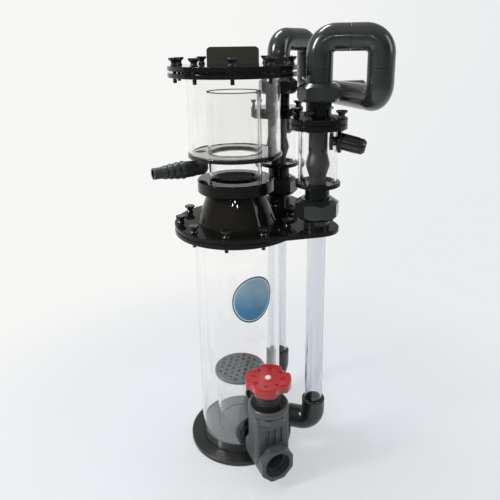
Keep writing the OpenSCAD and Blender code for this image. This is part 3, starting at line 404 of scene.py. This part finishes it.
# moulded plastic: two tones that drift, an orange-peel skin, flow marks and scuffed high spots
skinLook = {
    **tones((27, 32, 31), (35, 40, 39), (46, 51, 50), (74, 78, 78)), "drift": 9, "driftFrom": (0.3, 0.7),
    "grain": 700, "fleckFrom": (0.55, 0.75), "fleckShare": 0.35, "scuff": 0.2, "scuffScale": 65,
    "scuffBreak": 0.7, "scuffFrom": (0.62, 0.74), "settled": 0.0, "rough": 0.24, "driftDull": 0.12,
    "scuffDull": 0.10, "peel": 0.06, "peelDepth": 0.0006, "edge": 0.0012, "index": 1.5, "coat": 0.5, "film": 0.13}
skins = {
    "darkPipe": {},
    "loopPipe": {"dark": shade(34, 38, 37), "light": shade(43, 47, 46), "joints": loopJoints},
    "barbGrey": tones((44, 50, 48), (54, 60, 58), (66, 72, 70), (88, 93, 92), rough=0.42, coat=0.1),
    "blackNylon": tones((14, 14, 14), (20, 20, 20), (31, 31, 31), (52, 52, 52), rough=0.24, coat=0.4),
    "valveGrey": tones((70, 74, 76), (82, 86, 88), (96, 100, 102), (120, 124, 126), rough=0.36, coat=0.1),
    # bonnetPaintedShade: the valve's grey darkened as painted shade, where the wheel shades the neck and the
    # packing nut
    "bonnetPaintedShade": tones((34, 36, 36), (44, 46, 46), (58, 60, 60), (84, 86, 86), rough=0.38, coat=0.0),
    "baseGrey": tones((20, 22, 22), (27, 29, 29), (40, 42, 42), (68, 70, 70), rough=0.30, coat=0.35, film=0.16),
    "plateGrey": tones((54, 59, 60), (63, 68, 69), (76, 81, 82), (124, 130, 131), rough=0.36, coat=0.1,
                       settled=0.32),
    "bubbleGrey": tones((67, 73, 74), (77, 83, 84), (90, 96, 97), (118, 123, 123), rough=0.36, coat=0.1),
    "wheelRed": tones((176, 14, 24), (190, 22, 30), (198, 40, 45), (220, 108, 106), rough=0.22, scuff=0.12,
                      coat=0.8, film=0.05),
    "screwWhite": tones((228, 228, 222), (240, 240, 236), (220, 219, 212), (200, 198, 190), rough=0.35, coat=0.0),
    "nozzleBrown": tones((18, 16, 14), (25, 23, 20), (36, 33, 29), (58, 54, 48), rough=0.42, coat=0.0)}


def mouldedSkin(name, look):
    paint = Paint(name)
    drift = paint.noise(look["drift"], detail=3)
    fleck = paint.noise(look["grain"], detail=2)
    scuff = paint.step(paint.noise(look["scuffScale"], detail=5, rough=look["scuffBreak"]), *look["scuffFrom"])
    tone = paint.mix(paint.step(drift, *look["driftFrom"]), look["dark"], look["light"])
    tone = paint.mix(paint.step(fleck, *look["fleckFrom"]) * look["fleckShare"], tone, look["fleck"])
    tone = paint.mix(scuff * look["scuff"], tone, look["worn"])
    tone = paint.mix(paint.upward() * look["settled"], tone, look["worn"])  # lighter, toward the worn tone, on faces that look up
    rough = look["rough"] + (drift - 0.5) * look["driftDull"] + scuff * look["scuffDull"]
    if "joints" in look:
        gap = jointLines(paint, look["joints"])
        tone, rough = paint.mix(gap, tone, look["joints"]["ink"]), rough + gap * look["joints"]["dull"]
    skin = paint.bump(fleck, look["peel"], look["peelDepth"], look["edge"])
    surface = paint.body(color=tone, rough=rough, normal=skin, index=look["index"], coat=look["coat"],
                         coatRough=look["film"])
    return paint.done(surface)


# clear extruded tube: faint draw lines along Z, a trace of haze, light shadows
tubeLook = {
    "tint": (0.999, 0.998, 0.995, 1), "cloud": (0.992, 0.990, 0.985, 1), "cloudScale": 14,
    "cloudFrom": (0.35, 0.7), "rough": 0.0, "haze": 0.012, "hazeFrom": (0.55, 0.8), "lines": 0.0015,
    "lineScale": 55, "lineStretch": (1, 1, 0.02), "lineDepth": 0.0015, "index": 1.40,
    "shade": (0.95, 0.95, 0.95, 1)}
tubes = {
    "clearAcrylic": {},
    "cupAcrylic": {"tint": (0.999, 0.998, 0.994, 1), "cloud": (0.990, 0.988, 0.980, 1), "index": 1.36},
    "bluePipe": {"tint": (0.872, 0.888, 0.912, 1), "cloud": (0.855, 0.873, 0.90, 1), "index": 1.53,
                 "shade": (0.88, 0.89, 0.93, 1)}}


def clearTube(name, look):
    paint = Paint(name)
    draw = paint.noise(look["lineScale"], detail=2, at=paint.place(look["lineStretch"]))
    cloud = paint.noise(look["cloudScale"], detail=3)
    tone = paint.mix(paint.step(cloud, *look["cloudFrom"]), look["tint"], look["cloud"])
    rough = look["rough"] + paint.step(cloud, *look["hazeFrom"]) * look["haze"]
    lines = paint.bump(draw, look["lines"], look["lineDepth"])
    glass = paint.body(color=tone, rough=rough, normal=lines, index=look["index"], clear=1.0)
    pane = paint.node("ShaderNodeBsdfTransparent", None, {"Color": look["shade"]})
    hit = paint.node("ShaderNodeLightPath", None, None, "Is Shadow Ray")
    return paint.done(paint.node("ShaderNodeMixShader", None, {0: hit, 1: glass, 2: pane}))


# soft rubber and silicone: dull, dusty, slightly uneven
rubberLook = {"cloud": 40, "cloudFrom": (0.3, 0.75), "grain": 1400, "grainDull": 0.2, "relief": (0.2, 0.0003),
              "index": 1.45}
rubbers = {
    "whiteSilicone": {"dark": shade(214, 213, 206), "light": shade(228, 227, 221), "rough": 0.55},
    "greyGasket": {"dark": shade(70, 70, 69), "light": shade(88, 88, 86), "rough": 0.65},
    "blackRubber": {"dark": shade(20, 20, 20), "light": shade(30, 30, 30), "rough": 0.6}}


def rubberSkin(name, look):
    paint = Paint(name)
    cloud = paint.noise(look["cloud"], detail=4)
    grain = paint.noise(look["grain"], detail=2)
    tone = paint.mix(paint.step(cloud, *look["cloudFrom"]), look["dark"], look["light"])
    rough = look["rough"] + (grain - 0.5) * look["grainDull"]
    skin = paint.bump(grain, *look["relief"])
    return paint.done(paint.body(color=tone, rough=rough, normal=skin, index=look["index"]))


# turned brass: fine rings round the stem and a dull film
brassLook = {"bright": shade(222, 190, 128), "dull": shade(176, 148, 98), "film": 60, "filmFrom": (0.4, 0.75),
             "filmDull": 0.2, "rough": 0.22, "rings": 900, "ringStretch": (0.02, 0.02, 1), "relief": (0.3, 0.0002)}


def turnedBrass(name, look):
    paint = Paint(name)
    rings = paint.noise(look["rings"], detail=1, at=paint.place(look["ringStretch"]))
    film = paint.step(paint.noise(look["film"], detail=4), *look["filmFrom"])
    tone = paint.mix(film, look["bright"], look["dull"])
    rough = look["rough"] + film * look["filmDull"]
    return paint.done(paint.body(color=tone, rough=rough, metal=1.0, normal=paint.bump(rings, *look["relief"])))


finishes = {}
for makeFinish, baseLook, changes in (
        (polishedSheet, sheetLook, sheets), (mouldedSkin, skinLook, skins), (clearTube, tubeLook, tubes),
        (rubberSkin, rubberLook, rubbers), (turnedBrass, brassLook, {"turnedBrass": {}})):
    for finishName, change in changes.items():
        finishes[finishName] = makeFinish(finishName, {**baseLook, **change})

wears = {  # which nodes wear which finish
    "blackAcrylic": ["body_flange", "top_plate", "neck_collar", "wall_saddles", "front_housing_foot",
                     "rear_housing_foot", "front_tube_flange", "rear_tube_flange", "front_cap_flange",
                     "rear_cap_flange", "cup_flange", "lid"],
    "tabPaintedReflection": ["lid_handle"],
    "conePaintedReflection": ["cone"],
    "cupFloor": ["cup_floor"],
    "darkPipe": ["front_inlet_elbow", "rear_inlet_elbow", "front_plate_socket", "rear_plate_socket",
                 "front_lower_nut", "rear_lower_nut", "front_upper_nut", "rear_upper_nut", "loop_adapters",
                 "feed_tee"],
    "barbGrey": ["drain_barb"],
    "loopPipe": ["front_loop", "rear_loop"],
    "blackNylon": ["thumb_screws", "lid_screws", "front_air_valve", "rear_air_valve", "front_air_knob",
                   "rear_air_knob"],
    "valveGrey": ["valve_body", "bonnet_ring", "outlet_pipe", "valve_gate"],
    "bonnetPaintedShade": ["valve_bonnet", "packing_nut"],
    "baseGrey": ["base_plate"],
    "plateGrey": ["floor_plug"],
    "bubbleGrey": ["bubble_plate"],
    "wheelRed": ["handwheel"],
    "screwWhite": ["handwheel_screw"],
    "nozzleBrown": ["front_nozzle", "rear_nozzle"],
    "clearAcrylic": ["body_tube", "diffuser_tube", "front_injector_tube", "rear_injector_tube"],
    "cupAcrylic": ["cup_tube", "cup_riser"],
    "bluePipe": ["front_downpipe", "rear_downpipe"],
    "whiteSilicone": ["lid_gasket"],
    "greyGasket": ["flange_gasket"],
    "blackRubber": ["collar_oring"],
    "turnedBrass": ["valve_stem"]}

for finishName, wornBy in wears.items():
    for nodeName in wornBy:
        for wornSlot in nodes[nodeName].material_slots:
            wornSlot.material = finishes[finishName]
print("finishes:", len(finishes), "on", sum(len(wornBy) for wornBy in wears.values()), "nodes")

# label: a plain printed oval that follows the tube's wall
label = {
    "facing": -87.7, "high": 0.4265, "wide": 0.097, "tall": 0.114, "lean": -16, "radius": 0.1003, "film": 0.0002,
    "steps": 41, "upper": shade(150, 186, 200), "lower": shade(50, 132, 182), "rim": shade(58, 110, 140),
    "line": shade(226, 234, 236), "fade": (-0.75, 0.7), "lineFrom": (0.885, 0.90), "rimFrom": (0.925, 0.94),
    "cloud": 38, "cloudShare": 0.35, "cloudDull": 0.1, "grain": 900, "grainFrom": (0.45, 0.7), "grainShare": 0.12,
    "rough": 0.26, "relief": (0.05, 0.0002), "index": 1.48}


def labelPaint(look):
    paint = Paint("printedFilm")
    spot = paint.node("ShaderNodeUVMap", {"uv_map": "labelFace"})
    away = paint.node("ShaderNodeVectorMath", {"operation": "LENGTH"}, {0: spot}, "Value")
    rise = paint.node("ShaderNodeSeparateXYZ", None, {"Vector": spot}, "Y")
    grain = paint.noise(look["grain"], detail=2)
    cloud = paint.noise(look["cloud"], detail=3)
    drifted = rise + (cloud - 0.5) * look["cloudShare"]
    tone = paint.mix(paint.step(drifted, *look["fade"]), look["lower"], look["upper"])
    tone = paint.mix(paint.step(grain, *look["grainFrom"]) * look["grainShare"], tone, look["line"])
    tone = paint.mix(paint.step(away, *look["lineFrom"]), tone, look["line"])
    tone = paint.mix(paint.step(away, *look["rimFrom"]), tone, look["rim"])
    rough = look["rough"] + (cloud - 0.5) * look["cloudDull"]
    skin = paint.bump(grain, *look["relief"])
    return paint.done(paint.body(color=tone, rough=rough, normal=skin, index=look["index"]))


def makeLabel(look):
    # a square grid drawn into a disc, stretched to an oval, leant over and wrapped round the tube
    side = np.linspace(-1, 1, look["steps"])
    a, b = np.meshgrid(side, side, indexing="ij")
    across, up = a * np.sqrt(1 - b * b / 2), b * np.sqrt(1 - a * a / 2)
    lean, facing, radius = math.radians(look["lean"]), math.radians(look["facing"]), look["radius"]
    x, y = across * look["wide"] / 2, up * look["tall"] / 2
    along, high = x * math.cos(lean) - y * math.sin(lean), x * math.sin(lean) + y * math.cos(lean)
    turn = facing + along / radius
    points = np.stack([radius * np.cos(turn), radius * np.sin(turn), look["high"] + high], axis=-1)
    piece = pieceObject("tube_label", [quadGrid(points)], labelPaint(look))
    face = piece.data.uv_layers.new(name="labelFace")  # the oval laid flat again, -1 to 1 across and up
    corner = np.zeros(len(piece.data.loops), np.int32)
    piece.data.loops.foreach_get("vertex_index", corner)
    spots = np.zeros(len(piece.data.vertices) * 3)
    piece.data.vertices.foreach_get("co", spots)
    spots = spots.reshape(-1, 3)
    along = (np.arctan2(spots[:, 1], spots[:, 0]) - facing) * radius
    high = spots[:, 2] - look["high"]
    x, y = along * math.cos(lean) + high * math.sin(lean), high * math.cos(lean) - along * math.sin(lean)
    flat = np.stack([x / (look["wide"] / 2), y / (look["tall"] / 2)], axis=-1)
    face.data.foreach_set("uv", flat[corner].ravel())
    film = piece.modifiers.new("film", "SOLIDIFY")
    film.thickness, film.offset = look["film"], -1
    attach(piece, "skimmer")


makeLabel(label)
print("label on the tube")


# cement: small fillets of set solvent where tubes meet plates; radius, height, +1 above or -1 below the plate
cement = {
    "size": 0.0016, "count": 160, "slopeSteps": 6, "sink": -0.05, "waves": ((5, 0.16), (13, 0.12), (31, 0.07)),
    "phase": (90, 40), "tone": (0.96, 0.96, 0.95, 1), "dull": (0.88, 0.88, 0.86, 1), "drop": 320,
    "dropFrom": (0.4, 0.7), "dropDull": 0.1, "rough": 0.08, "relief": (0.15, 0.0006), "clear": 0.93, "index": 1.45,
    "skimmer": [(0.100, 0.568, -1), (0.059, 0.036, 1)],
    "cup": [(0.1035, 0.7515, 1), (0.1035, 0.919, -1), (0.0605, 0.7515, 1), (0.0605, 0.7435, -1)]}


def cementPaint(look):
    paint = Paint("setCement")
    drop = paint.noise(look["drop"], detail=3)
    tone = paint.mix(paint.step(drop, *look["dropFrom"]), look["tone"], look["dull"])
    rough = look["rough"] + (drop - 0.5) * look["dropDull"]
    skin = paint.bump(drop, *look["relief"])
    return paint.done(paint.body(color=tone, rough=rough, normal=skin, clear=look["clear"], index=look["index"]))


def filletRing(look, radius, high, way):
    # a three-sided profile, hollow on its slope, carried round the tube; its size swells and shrinks a little
    turn = around(look["count"])[:, None]
    starts = (radius * look["phase"][0], high * look["phase"][1], 0.0)
    waves = (share * np.sin(count * turn + start) for (count, share), start in zip(look["waves"], starts))
    swell = look["size"] * sum(waves, 1.0)
    slope = np.linspace(0, math.pi / 2, look["slopeSteps"])
    out = np.concatenate([[look["sink"]], 1 - np.sin(slope)])  # the corner, then the slope from wall to plate
    up = np.concatenate([[look["sink"]], 1 - np.cos(slope)])
    r = radius + swell * out
    points = np.stack([r * np.cos(turn), r * np.sin(turn), high + way * swell * up], axis=-1)
    return points[:, ::-1] if way < 0 else points


def makeCement(look):
    finish = cementPaint(look)
    for body in ("skimmer", "cup"):
        rings = [quadGrid(filletRing(look, *ring), True, True) for ring in look[body]]
        piece = pieceObject("cement_" + body, rings, finish)
        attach(piece, body)


makeCement(cement)
print("cement fillets set")

# threads: a helix of ridges on each screw tail below its flange
thread = {"core": 0.00395, "crest": 0.00432, "pitch": 0.00125, "steps": 22, "profile": (0, 0.85, 1, 0.85, 0),
          "width": 0.78, "fade": 1.6,
          "lid": {"circle": 0.129, "turn": 0.0, "count": 10, "low": 0.9090, "high": 0.9186},
          "skimmer": {"circle": 0.130, "turn": 26.5, "count": 10, "low": 0.5580, "high": 0.5676}}


def threadGrid(look, tails, index):
    # radius rises and falls once per pitch, angle and height climb together; the ridge fades out at both ends
    low, high = tails["low"], tails["high"]
    turns = (high - low) / look["pitch"]
    u = np.linspace(0, 1, int(turns * look["steps"]))[:, None]
    v = np.linspace(0, 1, len(look["profile"]))
    fade = np.clip(np.minimum(u, 1 - u) * turns * look["fade"], 0, 1)
    r = look["core"] + fade * (look["crest"] - look["core"]) * np.array(look["profile"])
    turn = 2 * math.pi * turns * u
    z = np.clip(low + (high - low) * u + (v - 0.5) * look["pitch"] * look["width"], low, high)
    spot = math.radians(tails["turn"] + index * 360 / tails["count"])
    x = tails["circle"] * math.cos(spot) + r * np.cos(turn)
    y = tails["circle"] * math.sin(spot) + r * np.sin(turn)
    points = np.stack([x, y, z], axis=-1)
    ends = points[[0, -1]].mean(axis=1, keepdims=True).repeat(len(v), axis=1)
    return np.concatenate([ends[:1], points, ends[1:]])


def makeThreads(look):
    for body in ("lid", "skimmer"):
        tails = look[body]
        grids = [quadGrid(threadGrid(look, tails, index), False, True) for index in range(tails["count"])]
        piece = pieceObject("threads_" + body, grids, finishes["blackNylon"])
        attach(piece, body)


makeThreads(thread)
print("threads cut on", thread["lid"]["count"] + thread["skimmer"]["count"], "screws")

# rim: the riser's sawn upper edge, a thin skin over the top of its wall with real saw marks; its dark tone is
# painted shade
rim = {"inner": 0.0565, "outer": 0.0605, "top": 0.887, "drop": 0.0017, "film": 0.00012, "count": 192, "sharp": 30,
       "dark": shade(44, 43, 40), "light": shade(82, 80, 75), "cut": 900, "cutStretch": (1, 1, 3),
       "cutFrom": (0.3, 0.7), "cutDull": 0.2, "rough": 0.45, "relief": (0.3, 0.0004), "index": 1.49}


def rimPaint(look):
    paint = Paint("sawnEdgePaintedShade")
    cut = paint.noise(look["cut"], detail=3, at=paint.place(look["cutStretch"]))
    tone = paint.mix(paint.step(cut, *look["cutFrom"]), look["dark"], look["light"])
    rough = look["rough"] + (cut - 0.5) * look["cutDull"]
    skin = paint.bump(cut, *look["relief"])
    return paint.done(paint.body(color=tone, rough=rough, normal=skin, index=look["index"]))


def makeRim(look):
    # a hooked profile over the tube's end, outer skin then inner skin, carried round the riser
    inner, outer, film = look["inner"], look["outer"], look["film"]
    top, low = look["top"], look["top"] - look["drop"]
    profile = [(outer, low), (outer + film, low), (outer + film, top + film), (inner - film, top + film),
               (inner - film, low), (inner, low), (inner, top), (outer, top)]
    grid = turned(profile, (0.0, 0.0, 0.0), count=look["count"])
    piece = pieceObject("riser_rim", [grid], rimPaint(look), look["sharp"])
    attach(piece, "cup")


makeRim(rim)
print("riser rim sawn")

# wheel: a cast four-lobed cap, dished, with a rounded brow, a hollow skirt, a hub and eight holes
wheel = {
    "lobes": 4, "turn": 16, "radius": 0.052, "notch": 0.022, "notchAt": 0.0655, "blend": 1.3, "brow": 0.0038,
    "browDrop": 0.0017, "dish": 0.0030, "plate": 0.006, "skin": 0.005, "holes": 8, "hole": 0.0048,
    "holeAt": 0.0338, "hub": 0.012, "bore": 0.0052, "hubLift": 0.009, "bevel": 0.0008, "sharp": 40,
    "edgeSteps": 1440, "blendSteps": 30, "acrossSteps": 24, "inwardSteps": 8, "rows": 9, "spread": 1.3, "bends": 7}


def wheelEdge(look, turn):
    # the disc's radius, or where a ray first meets a notch's circle, whichever is less; blended along the edge
    count = look["edgeSteps"]
    fine = around(count)
    step = 2 * math.pi / look["lobes"]
    off = (fine - math.radians(look["turn"]) + step / 2) % step - step / 2
    reach = look["notch"] ** 2 - (look["notchAt"] * np.sin(off)) ** 2
    cut = np.where(reach > 0, look["notchAt"] * np.cos(off) - np.sqrt(np.maximum(reach, 0)), look["radius"])
    edge = np.minimum(cut, look["radius"])
    spread = np.arange(-look["blendSteps"], look["blendSteps"] + 1) * 360 / count
    weight = np.exp(-0.5 * (spread / look["blend"]) ** 2)
    edge = np.convolve(np.tile(edge, 3), weight / weight.sum(), "same")[count:2 * count]
    return np.interp(turn % (2 * math.pi), np.append(fine, 2 * math.pi), np.append(edge, edge[0]))


def wheelGrids(look, centre, low, high):
    # round each hole a sheet runs from its circle out to the sides of its own sector, above and below;
    # the face rises with the square of the way out from the hub, and brow and skirt follow the edge
    count, fine, side = look["holes"], look["acrossSteps"], look["inwardSteps"]
    hub, bore, brow, skin, bevel = (look[key] for key in ("hub", "bore", "brow", "skin", "bevel"))
    half = math.pi / count
    middle = around(count, math.radians(look["turn"]))[:, None]
    off = np.concatenate([np.linspace(-half, half, fine, endpoint=False), np.full(side, half),
                          np.linspace(half, -half, fine, endpoint=False), np.full(side, -half)])
    part = np.concatenate([np.ones(fine), np.linspace(1, 0, side, endpoint=False), np.zeros(fine),
                           np.linspace(0, 1, side, endpoint=False)])
    turn = middle + off
    edge = wheelEdge(look, turn)
    under = high - look["plate"]
    ring = around(count * fine, math.radians(look["turn"]) - half)[:, None]

    def face(r):
        return high + look["dish"] * np.clip((r - hub) / (look["radius"] - hub), 0, 1) ** 2

    def border(inset):
        r = hub + part * (edge - inset - hub)
        return np.stack([r * np.cos(turn), r * np.sin(turn)], axis=-1)

    def raised(flat, z):
        return np.concatenate([flat + np.array(centre), np.broadcast_to(z, flat.shape[:-1])[..., None]], axis=-1)

    def carried(r, z):
        x, y = centre[0] + r * np.cos(ring), centre[1] + r * np.sin(ring)
        return np.stack([x, y, np.broadcast_to(z, x.shape)], axis=-1)

    core = look["holeAt"] * np.stack([np.cos(middle), np.sin(middle)], axis=-1)
    away = border(brow) - core
    hole = core + look["hole"] * away / np.linalg.norm(away, axis=-1, keepdims=True)
    share = np.linspace(0, 1, look["rows"])[None, :, None, None] ** look["spread"]
    upper = hole[:, None] + share * (border(brow) - hole)[:, None]
    lower = hole[:, None] + share * (border(skin) - hole)[:, None]
    top, base = raised(upper, face(np.linalg.norm(upper, axis=-1))), raised(lower, under)
    grids = [quadGrid(sheet, False, True) for sheet in top]
    grids += [quadGrid(sheet[::-1], False, True) for sheet in base]
    grids += [quadGrid(np.stack([b[0], t[0]]), False, True) for t, b in zip(top, base)]
    reach = wheelEdge(look, ring)
    bend = np.linspace(0, math.pi / 2, look["bends"])
    inset = np.concatenate([brow * (1 - np.sin(bend)), [0.0, bevel, skin - bevel, skin, skin]])
    fall = face(reach - brow) - look["browDrop"] * (1 - np.cos(bend))
    foot = np.array([low + bevel, low, low, low + bevel, under])
    z = np.concatenate([fall, np.broadcast_to(foot, (len(ring), len(foot)))], axis=1)
    grids.append(quadGrid(carried(reach - inset, z)[:, ::-1], True))
    lift = low + look["hubLift"]
    z = np.array([face(hub), face(bore), lift, lift, under])
    grids.append(quadGrid(carried(np.array([hub, bore, bore, hub, hub]), z), True))
    return grids


def makeWheel(look):
    low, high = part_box("handwheel")
    centre = ((low + high) / 2)[:2]
    grids = wheelGrids(look, centre, low[2], high[2])
    piece = pieceObject("handwheel_cast", grids, finishes["wheelRed"], look["sharp"])
    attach(piece, "handwheel")
    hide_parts("handwheel")


makeWheel(wheel)
print("handwheel cast:", wheel["holes"], "holes")

# bonnet: the valve's round ring with a bowl in it, and the ribbed neck that stands in the bowl, its grey darkened
# as painted shade from the wheel; radius, height
bonnet = {
    "sharp": 32,
    "ring": [(0.0292, 0.0), (0.0425, 0.0), (0.0450, 0.0018), (0.0464, 0.0048), (0.0466, 0.0098), (0.0458, 0.0134),
             (0.0442, 0.0157), (0.0422, 0.0168), (0.0404, 0.0166), (0.0390, 0.0154), (0.0352, 0.0092),
             (0.0316, 0.0067), (0.0292, 0.0062)],
    "neck": [(0.0052, 0.0), (0.0289, 0.0), (0.0289, 0.0225), (0.0277, 0.0232), (0.0277, 0.0248), (0.0289, 0.0255),
             (0.0289, 0.0295), (0.0277, 0.0302), (0.0277, 0.0318), (0.0289, 0.0325), (0.0289, 0.0365),
             (0.0277, 0.0372), (0.0277, 0.0388), (0.0289, 0.0395), (0.0289, 0.0438), (0.0277, 0.0450),
             (0.0216, 0.0450), (0.0208, 0.0458), (0.0208, 0.0580), (0.0198, 0.0590), (0.0052, 0.0590)]}


def makeBonnet(look):
    low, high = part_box("valve_bonnet")
    centre = (*((low + high) / 2)[:2], low[2])
    for name, part, node, finish, slotName in (
            ("ring_turned", "ring", "bonnet_ring", "valveGrey", "valve_grey"),
            ("bonnet_ribbed", "neck", "valve_bonnet", "bonnetPaintedShade", "bonnet_dark")):
        piece = pieceObject(name, [turned(look[part], centre)], finishes[finish], look["sharp"])
        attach(piece, "skimmer")
        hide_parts(node)


makeBonnet(bonnet)
print("bonnet ring and neck turned")

# barb: the stepped ridges of the hose barb, a sleeve over it, and a dark ring round the drain that is painted
# shade for the hole; radius, way along
barb = {
    "root": (-0.07364, 0.03126, 0.714), "facing": 192, "floor": 0.0375, "count": 96, "sharp": 25,
    "sleeve": [(0.0165, 0.0180), (0.0183, 0.0190), (0.0187, 0.0400), (0.0187, 0.0441), (0.0207, 0.0445),
               (0.0207, 0.0462), (0.0180, 0.0540), (0.0166, 0.0544), (0.0166, 0.0577), (0.0195, 0.0581),
               (0.0195, 0.0598), (0.0165, 0.0696), (0.0145, 0.0700), (0.0145, 0.0722), (0.0177, 0.0726),
               (0.0177, 0.0744), (0.0152, 0.0830), (0.0134, 0.0834), (0.0134, 0.0860), (0.0158, 0.0864),
               (0.0158, 0.0882), (0.0134, 0.0968), (0.0126, 0.0972), (0.0115, 0.0972), (0.0115, 0.0180)],
    # lip: a dark ring round the drain, painted shade that makes the hole read dark
    "lip": [(0.0086, -0.0006), (0.0131, -0.0002), (0.0127, 0.0004), (0.0094, 0.0004), (0.0086, 0.0001)]}


def makeBarb(look):
    facing = math.radians(look["facing"])
    x, y, z = look["root"]
    outward = (math.cos(facing), math.sin(facing), 0.0)
    sleeve = turned(look["sleeve"], (x, y, z), outward, look["count"])
    lip = turned(look["lip"], (x, y, z + look["floor"]), count=look["count"])
    for name, grid, finish in (("barb_ridges", sleeve, "barbGrey"), ("drain_hole_shade_ring", lip, "blackRubber")):
        piece = pieceObject(name, [grid], finishes[finish], look["sharp"])
        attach(piece, "cup")


makeBarb(barb)
print("barb ridged")
